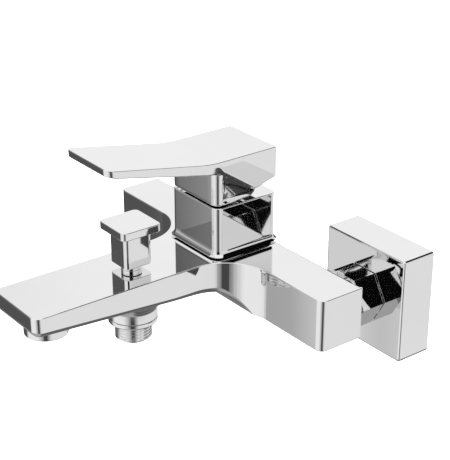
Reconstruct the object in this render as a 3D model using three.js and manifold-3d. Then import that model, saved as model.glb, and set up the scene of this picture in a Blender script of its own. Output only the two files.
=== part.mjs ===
// Wall mounted bath and shower mixer: two inlets 150 mm apart, a square lever, a pull-up diverter.
// Millimetres. +Z is up, the wall is the plane y = 0 and the mixer stands out from it along -Y.
// The origin lies on the wall, midway between the two inlets.
import * as THREE from 'three';
import { mergeVertices } from 'three/addons/utils/BufferGeometryUtils.js';
import Module from 'manifold-3d';

const wasm = await Module();
wasm.setup();

// Inlets, measured outward from the wall.
const inletSpacing = 150;
const escutcheonSide = 62;
const escutcheonDepth = 22;
const escutcheonWall = 2;
const escutcheonSag = 0.6;
const unionOffset = -5;
const unionTail = 15;
const unionEnd = 29;
const pipeThreadRadius = 10.48;
const swivelThreadRadius = 13.2;
const nutAcrossFlats = 30;
const nutStart = 22.5;
const nutEnd = 37.4;
const nutLipStart = 33.1;
const tailFlangeEnd = 32.8;
const tailDepthInBody = 8;

// Body.
const barHalfLength = 97.2;
const barRear = -39.7;
const barFront = -71;
const bodyTop = 17.5;
const bodyBottom = -13.4;
const barCornerRadius = 4.5;
const barRearCornerRadius = 0.8;
const spoutHalfWidth = 22.2;
const spoutTip = -200;
const spoutCornerRadius = 5;
const planFilletRadius = 28;
const spoutBottomAtTip = 6.9;
const spoutBottomAtRoot = -2;
const throatRadius = 16;
const throatStart = -88;

// Cartridge, sleeve and lever, on one upright axis.
const cartridgeY = -62.5;
const cavityFloor = 10;
const cavityRadius = 13;
const upstandRadius = 17;
const upstandTop = 42.5;
const threadStart = 38;
const sleeveHalf = 21.5;
const sleeveCornerRadius = 4.5;
const sleeveBottom = 18.9;
const sleeveTop = 47.5;
const leverPivotZ = 33;
const stemHalf = 3;
const stemTop = 67;
const leverHalfWidth = 21.3;
const leverRear = -41.5;
const leverTip = -152.3;
const leverTop = 75;
const leverTipTop = 87.3;
const hubBottom = 49.4;
const setScrewZ = 64;
const discRestOffset = 2.1;

// Diverter, shower outlet and aerator.
const diverterY = -126.5;
const diverterSeatZ = -6;
const chamberRadius = 9.2;
const chamberTop = 13.5;
const bossBottom = -12;
const bossRadius = 14;
const outletEnd = -25.5;
const knobHalf = 12.5;
const knobTop = 44.8;
const knobThickness = 4.5;
const neckHalf = 8.6;
const neckBottom = 21.8;
const knobCornerRadius = 2.9;
const rodRadius = 2.4;
const aeratorY = -181.5;
const aeratorRadius = 12.3;
const aeratorBottom = -4;
const aeratorSeat = 5.2;

const gap = 0.3;

const chrome = { color: 0xd6d8da, roughness: 0.08, metalness: 1 };
const brass = { color: 0xc7a25c, roughness: 0.32, metalness: 1 };
const steel = { color: 0xb4b7ba, roughness: 0.28, metalness: 1 };
const rubber = { color: 0x1d1e20, roughness: 0.8, metalness: 0 };
const acetal = { color: 0xe6e7e4, roughness: 0.45, metalness: 0 };
const ceramic = { color: 0xe3ddd0, roughness: 0.2, metalness: 0 };
const greyPlastic = { color: 0x9a9d9f, roughness: 0.4, metalness: 0 };

// Shared vertices are merged, and triangles that collapse onto a lathe's axis are dropped.
function weld(geometry) {
  const bare = geometry.clone();
  bare.deleteAttribute('normal');
  bare.deleteAttribute('uv');
  const merged = mergeVertices(bare, 1e-4);
  const corners = merged.index.array;
  const kept = [];
  for (let i = 0; i < corners.length; i += 3) {
    const [a, b, c] = corners.slice(i, i + 3);
    if (a !== b && b !== c && c !== a) kept.push(a, b, c);
  }
  merged.setIndex(kept);
  return merged;
}

function toSolid(geometry) {
  const welded = weld(geometry);
  return new wasm.Manifold(new wasm.Mesh({
    numProp: 3,
    vertProperties: welded.attributes.position.array,
    triVerts: Uint32Array.from(welded.index.array),
  }));
}

function toGeometry(solid) {
  const mesh = solid.getMesh();
  const geometry = new THREE.BufferGeometry();
  geometry.setAttribute('position', new THREE.BufferAttribute(Float32Array.from(mesh.vertProperties), 3));
  geometry.setIndex(new THREE.BufferAttribute(Uint32Array.from(mesh.triVerts), 1));
  geometry.computeVertexNormals();
  return geometry;
}

function join(...geometries) {
  return toGeometry(geometries.map(toSolid).reduce((sum, solid) => sum.add(solid)));
}

function cut(geometry, ...tools) {
  return toGeometry(tools.map(toSolid).reduce((rest, tool) => rest.subtract(tool), toSolid(geometry)));
}

function common(first, second) {
  return toGeometry(toSolid(first).intersect(toSolid(second)));
}

// A profile of [radius, z] points, counterclockwise about the material, turned about Z.
function turned(profile, segments = 20) {
  const points = profile.map(([radius, z]) => new THREE.Vector2(radius, z));
  if (profile[0][0] > 0) points.push(points[0].clone());
  return weld(new THREE.LatheGeometry(points, segments).rotateX(Math.PI / 2));
}

function rod(radius, low, high, segments = 20) {
  return turned([[0, low], [radius, low], [radius, high], [0, high]], segments);
}

function tube(outer, inner, low, high, segments = 20) {
  return turned([[inner, low], [outer, low], [outer, high], [inner, high]], segments);
}

function block(lowX, highX, lowY, highY, lowZ, highZ) {
  const box = new THREE.BoxGeometry(highX - lowX, highY - lowY, highZ - lowZ);
  return box.translate((lowX + highX) / 2, (lowY + highY) / 2, (lowZ + highZ) / 2);
}

function roundedSquare(half, radius) {
  const inner = half - radius;
  const shape = new THREE.Shape();
  shape.moveTo(inner, -half);
  shape.absarc(inner, -inner, radius, -Math.PI / 2, 0, false);
  shape.absarc(inner, inner, radius, 0, Math.PI / 2, false);
  shape.absarc(-inner, inner, radius, Math.PI / 2, Math.PI, false);
  shape.absarc(-inner, -inner, radius, Math.PI, Math.PI * 1.5, false);
  shape.closePath();
  return shape;
}

function upright(shape, low, high, curveSegments = 4) {
  const options = { depth: high - low, bevelEnabled: false, curveSegments };
  return weld(new THREE.ExtrudeGeometry(shape, options).translate(0, 0, low));
}

// A side view drawn in (y, z), swept across the width along X.
function sideways(shape, halfWidth, curveSegments = 7) {
  const options = { depth: halfWidth * 2, bevelEnabled: false, curveSegments };
  const swept = new THREE.ExtrudeGeometry(shape, options).translate(0, 0, -halfWidth);
  const alongY = new THREE.Vector3(0, 1, 0);
  const alongZ = new THREE.Vector3(0, 0, 1);
  const alongX = new THREE.Vector3(1, 0, 0);
  return weld(swept.applyMatrix4(new THREE.Matrix4().makeBasis(alongY, alongZ, alongX)));
}

function hexPrism(acrossFlats, low, high) {
  return rod(acrossFlats / Math.sqrt(3), low, high, 6).rotateZ(-Math.PI / 6);
}

// ---- Inlet pieces: local Z runs outward from the wall, local Y is up ----

function eccentricUnion() {
  const blockRadius = 14.5;
  const outline = new THREE.Shape();
  outline.absarc(0, 0, blockRadius, 0, Math.PI, false);
  outline.absarc(0, unionOffset, blockRadius, Math.PI, Math.PI * 2, false);
  outline.closePath();
  const wallThread = rod(pipeThreadRadius, -unionTail, 3).translate(0, unionOffset, 0);
  const middle = upright(outline, 2, 9, 9);
  const swivelThread = rod(swivelThreadRadius, 8, unionEnd);
  const wallBore = rod(7.5, -unionTail - 1, 6).translate(0, unionOffset, 0);
  const roomBore = rod(9.5, 5, unionEnd + 1);
  return cut(join(wallThread, middle, swivelThread), wallBore, roomBore);
}

// The cover hangs on the union's thread, so it sits low by the play in its hole.
function escutcheon() {
  const outer = upright(roundedSquare(escutcheonSide / 2, 1.2), 0, escutcheonDepth, 2);
  const inner = escutcheonSide / 2 - escutcheonWall;
  const hollow = block(-inner, inner, -inner, inner, -1, escutcheonDepth - escutcheonWall);
  const hole = rod(swivelThreadRadius + gap + escutcheonSag, 0, escutcheonDepth + 1);
  return cut(outer, hollow, hole).translate(0, -escutcheonSag, 0);
}

function unionNut() {
  const threadBore = rod(swivelThreadRadius + gap, nutStart - 1, nutLipStart);
  const lipBore = rod(pipeThreadRadius + 0.4, nutStart, nutEnd + 1);
  return cut(hexPrism(nutAcrossFlats, nutStart, nutEnd), threadBore, lipBore);
}

function unionWasher() {
  return tube(12.7, 8.3, unionEnd + gap, unionEnd + 2);
}

function inletTail() {
  const flange = tailFlangeEnd - 1.5;
  const bodyFace = -barRear - gap;
  const end = -barRear + tailDepthInBody;
  const bore = 7.2;
  return turned([
    [bore, flange], [12.9, flange], [12.9, tailFlangeEnd], [10.5, tailFlangeEnd],
    [10.5, bodyFace], [10, bodyFace], [10, end], [bore, end],
  ]);
}

// ---- Body: drawn where it stands ----

function bodyPlan() {
  const end = barHalfLength - barCornerRadius;
  const front = barFront + barCornerRadius;
  const rearEnd = barHalfLength - barRearCornerRadius;
  const rear = barRear - barRearCornerRadius;
  const filletX = spoutHalfWidth + planFilletRadius;
  const filletY = barFront - planFilletRadius;
  const tipX = spoutHalfWidth - spoutCornerRadius;
  const tipY = spoutTip + spoutCornerRadius;
  const quarter = Math.PI / 2;
  const plan = new THREE.Shape();
  plan.moveTo(filletX, barFront);
  plan.absarc(end, front, barCornerRadius, -quarter, 0, false);
  plan.absarc(rearEnd, rear, barRearCornerRadius, 0, quarter, false);
  plan.absarc(-rearEnd, rear, barRearCornerRadius, quarter, 2 * quarter, false);
  plan.absarc(-end, front, barCornerRadius, 2 * quarter, 3 * quarter, false);
  plan.absarc(-filletX, filletY, planFilletRadius, quarter, 0, true);
  plan.absarc(-tipX, tipY, spoutCornerRadius, 2 * quarter, 3 * quarter, false);
  plan.absarc(tipX, tipY, spoutCornerRadius, 3 * quarter, 4 * quarter, false);
  plan.absarc(filletX, filletY, planFilletRadius, 2 * quarter, quarter, true);
  return plan;
}

// Everything below the spout is taken away: a nearly level underside, then a hollow curve down to the bar.
function undersideTool() {
  const centreZ = spoutBottomAtRoot - throatRadius;
  const profile = new THREE.Shape();
  profile.moveTo(spoutTip - 10, centreZ - 10);
  profile.lineTo(throatStart + throatRadius, centreZ - 10);
  profile.lineTo(throatStart + throatRadius, centreZ);
  profile.absarc(throatStart, centreZ, throatRadius, 0, Math.PI / 2, false);
  profile.lineTo(spoutTip - 10, spoutBottomAtTip);
  profile.closePath();
  return sideways(profile, 60);
}

// The round boss under the diverter flares out into the underside and stays within the spout's sides.
function outletBoss() {
  const flare = turned([
    [0, bossBottom], [bossRadius, bossBottom], [14.8, bossBottom + 1.5], [16.4, bossBottom + 4],
    [18.8, bossBottom + 7], [21.2, bossBottom + 9.6], [24.4, bossBottom + 12], [29, bossBottom + 14.2],
    [29, 8], [0, 8],
  ], 28);
  const spoutWidth = spoutHalfWidth - gap;
  const clipped = common(flare, block(-spoutWidth, spoutWidth, -30, 30, bossBottom - 1, 9));
  return clipped.translate(0, diverterY, 0);
}

function bodyCasting() {
  const outside = cut(upright(bodyPlan(), bodyBottom, bodyTop, 7), undersideTool());
  const upstand = rod(upstandRadius, cavityFloor, upstandTop, 24).translate(0, cartridgeY, 0);
  const metal = join(outside, upstand, outletBoss());

  const passageY = (barRear + barFront) / 2;
  const tools = [
    rod(cavityRadius, cavityFloor, upstandTop + 1).translate(0, cartridgeY, 0),
    rod(cavityRadius + 1, threadStart, upstandTop + 1).translate(0, cartridgeY, 0),
    rod(3, 4, cavityFloor + 1, 12).translate(0, cartridgeY - 7.5, 0),
    block(-8, 8, -80, -66, 2.4, 8),
    block(-9, 9, diverterY + 6, -77.5, 6, chamberTop),
    rod(chamberRadius, diverterSeatZ, chamberTop).translate(0, diverterY, 0),
    rod(5.5, diverterSeatZ - 3, diverterSeatZ + 1, 16).translate(0, diverterY, 0),
    rod(8.3, bossBottom - 1, diverterSeatZ - 1.7).translate(0, diverterY, 0),
    rod(5, chamberTop - 1, bodyTop + 1, 16).translate(0, diverterY, 0),
    block(-8, 8, aeratorY + 8, diverterY - 7, 8.5, chamberTop),
    rod(aeratorRadius + gap, 2, aeratorSeat).translate(0, aeratorY, 0),
    rod(11.2, 2, 14).translate(0, aeratorY, 0),
  ];
  for (const side of [-1, 1]) {
    const inletX = side * inletSpacing / 2;
    const passage = rod(5.5, 3, inletSpacing / 2, 12).rotateY(side * Math.PI / 2);
    tools.push(passage.translate(0, passageY, 0));
    tools.push(rod(2.6, 0, cavityFloor + 1, 12).translate(side * 6, cartridgeY + 4, 0));
    const inletDepth = -barRear + tailDepthInBody;
    tools.push(rod(10.3, -barRear - 1, inletDepth + gap).rotateX(Math.PI / 2).translate(inletX, 0, 0));
    tools.push(rod(7, -barRear, -passageY + 4).rotateX(Math.PI / 2).translate(inletX, 0, 0));
  }
  return cut(metal, ...tools);
}

// ---- Cartridge, sleeve and lever: local origin on the cartridge axis ----

function cartridgeGasket() {
  return cut(rod(12, cavityFloor + 0.2, cavityFloor + 1), ...portTools(cavityFloor, cavityFloor + 2));
}

function cartridgeBase() {
  return cut(rod(12.7, cavityFloor + 1.2, cavityFloor + 4.2), ...portTools(cavityFloor + 1, cavityFloor + 5));
}

function fixedDisc() {
  return cut(rod(11.3, cavityFloor + 4.8, cavityFloor + 8), ...portTools(cavityFloor + 4, cavityFloor + 9));
}

// Two inlet ports behind the axis and one mixed-water port in front of it.
function portTools(low, high) {
  return [[-6, 4], [6, 4], [0, -7.5]].map(([x, y]) => rod(2.6, low, high, 12).translate(x, y, 0));
}

function movingDisc() {
  const disc = rod(8.4, cavityFloor + 8.2, cavityFloor + 11.8).translate(0, discRestOffset, 0);
  return cut(disc, rod(2.7, cavityFloor + 10, cavityFloor + 13, 16));
}

function cartridgeHousing() {
  const low = cavityFloor + 4.5;
  return turned([
    [11.7, low], [12.7, low], [12.7, threadStart], [10.4, threadStart], [10.4, 44.6],
    [8.8, 44.6], [8.8, threadStart - 1], [11.7, threadStart - 1],
  ]);
}

function stemCarrier() {
  const drum = rod(11.3, 24.5, threadStart - 1.3);
  const slot = block(-stemHalf - gap, stemHalf + gap, -6.8, 5.4, 24, threadStart);
  const pinHole = rod(1.8, -12, 12, 12).rotateY(Math.PI / 2).translate(0, 0, leverPivotZ);
  return cut(drum, slot, pinHole);
}

function pivotPin() {
  return rod(1.5, -9, 9, 12).rotateY(Math.PI / 2).translate(0, 0, leverPivotZ);
}

function leverStem() {
  const shank = block(-stemHalf, stemHalf, -stemHalf, stemHalf, 24, stemTop);
  const tip = rod(2, cavityFloor + 10.3, 25, 12);
  const pinHole = rod(1.8, -5, 5, 12).rotateY(Math.PI / 2).translate(0, 0, leverPivotZ);
  return cut(join(shank, tip), pinHole);
}

function retainingNut() {
  const threaded = rod(cavityRadius + 0.7, threadStart + gap, upstandTop + 1);
  const head = hexPrism(28, upstandTop + gap, upstandTop + 2.2);
  return cut(join(threaded, head), rod(10.7, threadStart - 1, upstandTop + 3));
}

function squareSleeve() {
  const outside = upright(roundedSquare(sleeveHalf, sleeveCornerRadius), sleeveBottom, sleeveTop);
  const foot = upright(roundedSquare(sleeveHalf + 0.9, sleeveCornerRadius + 0.9), sleeveBottom, sleeveBottom + 2);
  const wall = 1.8;
  const innerShape = roundedSquare(sleeveHalf - wall, sleeveCornerRadius - wall);
  const inside = upright(innerShape, sleeveBottom - 1, sleeveTop - wall);
  return cut(join(outside, foot), inside, rod(10.8, sleeveBottom, sleeveTop + 1));
}

function sleeveGasket() {
  const shape = roundedSquare(sleeveHalf - 0.6, sleeveCornerRadius - 0.6);
  const ring = upright(shape, bodyTop + 0.1, sleeveBottom - 0.2);
  const opening = upright(roundedSquare(sleeveHalf - 3, 2.5), bodyTop - 1, sleeveBottom + 1);
  return cut(ring, opening);
}

// Side view of the lever: a thin blade that rises to the tip, and a deep level block at the rear.
function bladeProfile() {
  const profile = new THREE.Shape();
  const y = (value) => value - cartridgeY;
  profile.moveTo(y(leverTip), leverTipTop);
  profile.lineTo(y(leverTip) + 1, leverTipTop - 4.2);
  profile.lineTo(y(-84), 68);
  profile.lineTo(y(-60), 53.4);
  profile.lineTo(y(-56.4), 53.1);
  profile.lineTo(y(leverRear), 57.4);
  profile.lineTo(y(leverRear), leverTop);
  profile.lineTo(y(-80), leverTop);
  profile.quadraticCurveTo(y(-87), leverTop, y(-95), leverTop + 1.5);
  profile.closePath();
  return profile;
}

function hubProfile() {
  const cornerRadius = 6;
  const profile = new THREE.Shape();
  profile.moveTo(-sleeveHalf, hubBottom + 1);
  profile.quadraticCurveTo(-12, hubBottom, 0.5, hubBottom);
  profile.absarc(0.5, hubBottom + cornerRadius, cornerRadius, -Math.PI / 2, 0, false);
  profile.lineTo(6.5, 70);
  profile.lineTo(-sleeveHalf, 70);
  profile.closePath();
  return profile;
}

function leverPlan() {
  const low = leverTip - cartridgeY;
  const high = leverRear - cartridgeY;
  const radius = spoutCornerRadius;
  const plan = new THREE.Shape();
  plan.moveTo(leverHalfWidth - radius, low);
  plan.absarc(leverHalfWidth - radius, low + radius, radius, -Math.PI / 2, 0, false);
  plan.lineTo(leverHalfWidth, high);
  plan.lineTo(-leverHalfWidth, high);
  plan.absarc(-leverHalfWidth + radius, low + radius, radius, Math.PI, Math.PI * 1.5, false);
  plan.closePath();
  return plan;
}

function leverHandle() {
  const blade = common(sideways(bladeProfile(), 30), upright(leverPlan(), 40, 95));
  const hubPlan = upright(roundedSquare(sleeveHalf, sleeveCornerRadius), 40, 95);
  const hub = common(sideways(hubProfile(), 30), hubPlan);
  const socketHalf = stemHalf + gap;
  const socket = block(-socketHalf, socketHalf, -socketHalf, socketHalf, hubBottom - 2, stemTop + 1);
  const screwBore = rod(2.8, -24, 0, 16).rotateX(Math.PI / 2).translate(0, 0, setScrewZ);
  const plugBore = rod(3.7, leverRear - cartridgeY - 3.4, 30, 20).rotateX(-Math.PI / 2);
  return cut(join(blade, hub), socket, screwBore, plugBore.translate(0, 0, setScrewZ));
}

function setScrew() {
  const screw = rod(2.5, stemHalf + gap, 15, 16);
  return cut(screw, hexPrism(2.5, 12, 16)).rotateX(-Math.PI / 2).translate(0, 0, setScrewZ);
}

function screwPlug() {
  const rear = leverRear - cartridgeY;
  return rod(3.4, rear - 3, rear - 0.2, 20).rotateX(-Math.PI / 2).translate(0, 0, setScrewZ);
}

// ---- Diverter and shower outlet: local origin on the diverter axis ----

function knobCap() {
  const plate = upright(roundedSquare(knobHalf, knobCornerRadius), knobTop - knobThickness, knobTop);
  return join(plate, rod(4, knobTop - knobThickness - 2.7, knobTop - 1, 20));
}

function knobNeck() {
  const top = knobTop - knobThickness - gap;
  const column = upright(roundedSquare(neckHalf, knobCornerRadius), neckBottom, top);
  return cut(column, rod(4.3, top - 2.8, top + 1, 20), rod(rodRadius + gap, neckBottom - 1, 33, 20));
}

function diverterRod() {
  const foot = diverterSeatZ - 1.3;
  return turned([
    [0, foot], [4.2, foot], [4.2, foot + 1.2], [rodRadius, foot + 1.2], [rodRadius, 32.5], [0, 32.5],
  ], 20);
}

function diverterDisc() {
  const low = diverterSeatZ + 1.1;
  return turned([
    [2.7, low], [8, low], [8, low + 1.2], [4.4, low + 2.3], [2.7, low + 2.3],
  ]);
}

function diverterSeal() {
  return tube(8, 2.7, diverterSeatZ + 0.3, diverterSeatZ + 0.9);
}

class SpringCurve extends THREE.Curve {
  constructor(radius, low, high, turns) {
    super();
    this.radius = radius;
    this.low = low;
    this.high = high;
    this.turns = turns;
  }

  getPoint(t) {
    const angle = t * this.turns * Math.PI * 2;
    const z = this.low + t * (this.high - this.low);
    return new THREE.Vector3(this.radius * Math.cos(angle), this.radius * Math.sin(angle), z);
  }
}

function diverterSpring() {
  const wireRadius = 0.45;
  const turns = 5;
  const low = diverterSeatZ + 3.6 + wireRadius;
  const high = chamberTop - gap - wireRadius;
  const section = new THREE.Shape();
  section.absarc(0, 0, wireRadius, 0, Math.PI * 2, false);
  const options = {
    steps: turns * 8,
    curveSegments: 3,
    bevelEnabled: false,
    extrudePath: new SpringCurve(6.4, low, high, turns),
  };
  return weld(new THREE.ExtrudeGeometry(section, options));
}

function diverterBonnet() {
  const low = chamberTop - 0.2;
  const bore = rodRadius + gap;
  return turned([
    [bore, low], [4.7, low], [4.7, bodyTop + gap], [5.8, bodyTop + gap], [5.8, bodyTop + 3.4],
    [bore, bodyTop + 3.4], [bore, bodyTop + 2.7], [4.1, bodyTop + 2.7], [4.1, bodyTop + 1],
    [bore, bodyTop + 1],
  ], 16);
}

function rodSealRing() {
  return ringOfRoundSection(3.3, 0.6).translate(0, 0, bodyTop + 1.85);
}

function ringOfRoundSection(radius, thickness) {
  return weld(new THREE.TorusGeometry(radius, thickness, 6, 20));
}

function showerNipple() {
  const bore = 6.5;
  const chamfer = 0.8;
  return turned([
    [bore, outletEnd], [pipeThreadRadius - chamfer, outletEnd], [pipeThreadRadius, outletEnd + chamfer],
    [pipeThreadRadius, bossBottom - 3], [bossRadius, bossBottom - 3], [bossRadius, bossBottom - gap],
    [8, bossBottom - gap], [8, diverterSeatZ - 2], [bore, diverterSeatZ - 2],
  ], 24);
}

// ---- Aerator: local origin on its axis ----

function aeratorRing() {
  return turned([
    [8.8, aeratorBottom], [aeratorRadius - 0.5, aeratorBottom], [aeratorRadius, aeratorBottom + 0.5],
    [aeratorRadius, aeratorSeat - gap], [10.8, aeratorSeat - gap], [10.8, 10.5], [9.8, 10.5],
    [9.8, -2.6], [8.8, -2.6],
  ], 28);
}

// A plate with a centre hole and two rings of holes that breaks the water into a soft stream.
function aeratorInsert() {
  const holes = [];
  for (const [ringRadius, count] of [[0, 1], [3.2, 6], [6.4, 12]]) {
    for (let i = 0; i < count; i += 1) {
      const hole = rod(1.1, -3, 3, 6).translate(ringRadius, 0, 0);
      holes.push(hole.rotateZ(i * 2 * Math.PI / count));
    }
  }
  return cut(rod(9.5, -2.3, 1.7), ...holes);
}

function aeratorWasher() {
  return tube(10.6, 8.4, 10.8, 12.8);
}

// ---- Assembly ----

function addPart(group, name, geometry, finish) {
  const mesh = new THREE.Mesh(geometry, new THREE.MeshStandardMaterial(finish));
  mesh.name = name;
  group.add(mesh);
}

function inletGroup(side, suffix) {
  const group = new THREE.Group();
  group.position.set(side * inletSpacing / 2, 0, 0);
  group.rotation.x = Math.PI / 2;
  addPart(group, `eccentric_union_${suffix}`, eccentricUnion(), chrome);
  addPart(group, `escutcheon_${suffix}`, escutcheon(), chrome);
  addPart(group, `union_nut_${suffix}`, unionNut(), chrome);
  addPart(group, `union_washer_${suffix}`, unionWasher(), rubber);
  addPart(group, `inlet_tail_${suffix}`, inletTail(), chrome);
  return group;
}

function cartridgeGroup() {
  const group = new THREE.Group();
  group.position.set(0, cartridgeY, 0);
  addPart(group, 'cartridge_gasket', cartridgeGasket(), rubber);
  addPart(group, 'cartridge_base', cartridgeBase(), acetal);
  addPart(group, 'cartridge_fixed_disc', fixedDisc(), ceramic);
  addPart(group, 'cartridge_moving_disc', movingDisc(), ceramic);
  addPart(group, 'cartridge_housing', cartridgeHousing(), acetal);
  addPart(group, 'cartridge_stem_carrier', stemCarrier(), acetal);
  addPart(group, 'cartridge_pivot_pin', pivotPin(), steel);
  addPart(group, 'cartridge_stem', leverStem(), brass);
  addPart(group, 'cartridge_retaining_nut', retainingNut(), brass);
  addPart(group, 'cartridge_sleeve', squareSleeve(), chrome);
  addPart(group, 'sleeve_gasket', sleeveGasket(), rubber);
  addPart(group, 'lever_handle', leverHandle(), chrome);
  addPart(group, 'handle_set_screw', setScrew(), steel);
  addPart(group, 'handle_screw_plug', screwPlug(), greyPlastic);
  return group;
}

function diverterGroup() {
  const group = new THREE.Group();
  group.position.set(0, diverterY, 0);
  addPart(group, 'diverter_knob_cap', knobCap(), chrome);
  addPart(group, 'diverter_knob_neck', knobNeck(), chrome);
  addPart(group, 'diverter_rod', diverterRod(), steel);
  addPart(group, 'diverter_disc', diverterDisc(), brass);
  addPart(group, 'diverter_seal', diverterSeal(), rubber);
  addPart(group, 'diverter_spring', diverterSpring(), steel);
  addPart(group, 'diverter_bonnet', diverterBonnet(), chrome);
  addPart(group, 'diverter_rod_seal', rodSealRing(), rubber);
  addPart(group, 'shower_outlet_nipple', showerNipple(), chrome);
  return group;
}

function aeratorGroup() {
  const group = new THREE.Group();
  group.position.set(0, aeratorY, 0);
  addPart(group, 'aerator_ring', aeratorRing(), chrome);
  addPart(group, 'aerator_insert', aeratorInsert(), acetal);
  addPart(group, 'aerator_washer', aeratorWasher(), rubber);
  return group;
}

const faucet = new THREE.Group();
addPart(faucet, 'body_casting', bodyCasting(), chrome);
faucet.add(inletGroup(-1, 'left'));
faucet.add(inletGroup(1, 'right'));
faucet.add(cartridgeGroup());
faucet.add(diverterGroup());
faucet.add(aeratorGroup());

export default faucet;
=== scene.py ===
import math

import bpy
from mathutils import Matrix, Vector


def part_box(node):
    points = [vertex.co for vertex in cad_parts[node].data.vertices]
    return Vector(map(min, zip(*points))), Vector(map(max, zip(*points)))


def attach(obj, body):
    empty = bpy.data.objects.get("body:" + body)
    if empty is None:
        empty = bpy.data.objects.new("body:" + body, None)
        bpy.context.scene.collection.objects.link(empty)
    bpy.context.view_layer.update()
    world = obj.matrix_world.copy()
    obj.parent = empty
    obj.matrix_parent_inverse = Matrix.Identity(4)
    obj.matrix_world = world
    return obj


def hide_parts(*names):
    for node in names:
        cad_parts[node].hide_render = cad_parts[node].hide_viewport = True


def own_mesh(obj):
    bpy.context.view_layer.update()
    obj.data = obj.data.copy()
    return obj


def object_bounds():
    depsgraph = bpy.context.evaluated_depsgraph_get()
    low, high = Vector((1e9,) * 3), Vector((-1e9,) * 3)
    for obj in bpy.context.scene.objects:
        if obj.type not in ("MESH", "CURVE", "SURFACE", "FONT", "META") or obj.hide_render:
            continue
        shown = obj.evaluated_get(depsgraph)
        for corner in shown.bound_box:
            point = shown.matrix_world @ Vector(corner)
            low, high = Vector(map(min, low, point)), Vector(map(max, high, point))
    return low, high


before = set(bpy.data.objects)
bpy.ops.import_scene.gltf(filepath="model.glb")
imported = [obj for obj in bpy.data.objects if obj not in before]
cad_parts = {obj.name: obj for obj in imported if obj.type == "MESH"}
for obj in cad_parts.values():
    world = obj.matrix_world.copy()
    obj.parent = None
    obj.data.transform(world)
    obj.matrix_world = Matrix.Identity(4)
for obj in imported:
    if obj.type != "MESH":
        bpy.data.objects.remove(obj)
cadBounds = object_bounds()
print("frame loaded,", len(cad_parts), "nodes")

# Shapes below are drawn in millimetres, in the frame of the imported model, and become metres when a piece is made.
toMetres = 0.001
quarter = math.pi / 2


def boxMm(node):
    low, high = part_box(node)
    return low / toMetres, high / toMetres


def mix(a, b, share):
    return a + (b - a) * share


def ease(low, high, value):
    t = min(max((value - low) / (high - low), 0), 1)
    return t * t * (3 - 2 * t)


# ---- Outlines: points carry their outward normal, so that an outline can be inset exactly ----

def arc(centreX, centreY, radius, start, end, steps, hollow=False):
    side = -1 if hollow else 1
    points = []
    for k in range(steps + 1):
        angle = math.radians(mix(start, end, k / steps))
        nx, ny = math.cos(angle), math.sin(angle)
        points.append((centreX + radius * nx, centreY + radius * ny, side * nx, side * ny))
    return points


def roundedBox(lowX, highX, lowY, highY, radius, steps=8):
    return (
        arc(highX - radius, lowY + radius, radius, -90, 0, steps)
        + arc(highX - radius, highY - radius, radius, 0, 90, steps)
        + arc(lowX + radius, highY - radius, radius, 90, 180, steps)
        + arc(lowX + radius, lowY + radius, radius, 180, 270, steps)
    )


def roundedSquare(half, radius, steps=8):
    return roundedBox(-half, half, -half, half, radius, steps)


def softLevels(low, high, softLow, softHigh, steps=3):
    turns = [quarter * k / steps for k in range(steps + 1)]
    lower = [(softLow * (1 - math.sin(a)), low + softLow * (1 - math.cos(a))) for a in turns]
    upper = [(softHigh * (1 - math.cos(a)), high - softHigh * (1 - math.sin(a))) for a in turns]
    return lower + upper


# A corner of a profile is replaced by a small arc; the ends on the axis stay as they are.
def softProfile(profile, soft, steps=3):
    count = len(profile)
    onAxis = profile[0][0] == 0
    result = []
    for i, (r, z) in enumerate(profile):
        if onAxis and i in (0, count - 1):
            result.append((r, z))
            continue
        here = Vector((r, z))
        back = Vector(profile[i - 1]) - here
        ahead = Vector(profile[(i + 1) % count]) - here
        turn = math.pi - back.angle(ahead)
        if turn < 0.12:
            result.append((r, z))
            continue
        reach = min(soft * math.tan(turn / 2), 0.42 * back.length, 0.42 * ahead.length)
        start = here + back.normalized() * reach
        end = here + ahead.normalized() * reach
        for k in range(steps + 1):
            t = k / steps
            result.append(tuple((1 - t) ** 2 * start + 2 * t * (1 - t) * here + t * t * end))
    return result


# ---- Surfaces: each returns (vertices, faces) of one closed body with its faces pointing out ----

def loft(rings, closed=False):
    count = len(rings[0])
    verts = [p for ring in rings for p in ring]
    faces = []
    spans = len(rings) if closed else len(rings) - 1
    for j in range(spans):
        low, high = j * count, (j + 1) % len(rings) * count
        for i in range(count):
            k = (i + 1) % count
            faces.append((low + i, low + k, high + k, high + i))
    if not closed:
        faces.append(tuple(reversed(range(count))))
        faces.append(tuple(range((len(rings) - 1) * count, len(rings) * count)))
    return verts, faces


def prism(outline, levels):
    return loft([[(x - nx * inset, y - ny * inset, z) for x, y, nx, ny in outline] for inset, z in levels])


def block(lowX, highX, lowY, highY, lowZ, highZ, soft=0.2):
    return prism(roundedBox(lowX, highX, lowY, highY, soft, 2), softLevels(lowZ, highZ, soft, soft, 2))


# A profile of (radius, z), counterclockwise about the material, turned about Z. reshape may move a point's radius.
def turned(profile, segments=64, reshape=None):
    verts, faces, rings = [], [], []
    closed = profile[0][0] > 0
    for r, z in profile:
        ring = []
        if r == 0:
            ring.append(len(verts))
            verts.append((0, 0, z))
        else:
            for i in range(segments):
                angle = 2 * math.pi * i / segments
                radius = reshape(r, z, angle) if reshape else r
                ring.append(len(verts))
                verts.append((radius * math.cos(angle), radius * math.sin(angle), z))
        rings.append(ring)
    for j in range(len(rings) if closed else len(rings) - 1):
        low, high = rings[j], rings[(j + 1) % len(rings)]
        for i in range(segments):
            k = (i + 1) % segments
            if len(low) == 1:
                faces.append((low[0], high[k], high[i]))
            elif len(high) == 1:
                faces.append((low[i], low[k], high[0]))
            else:
                faces.append((low[i], low[k], high[k], high[i]))
    return verts, faces


def rod(radius, low, high, soft=0.2, segments=48):
    return turned(softProfile([(0, low), (radius, low), (radius, high), (0, high)], soft), segments)


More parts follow.
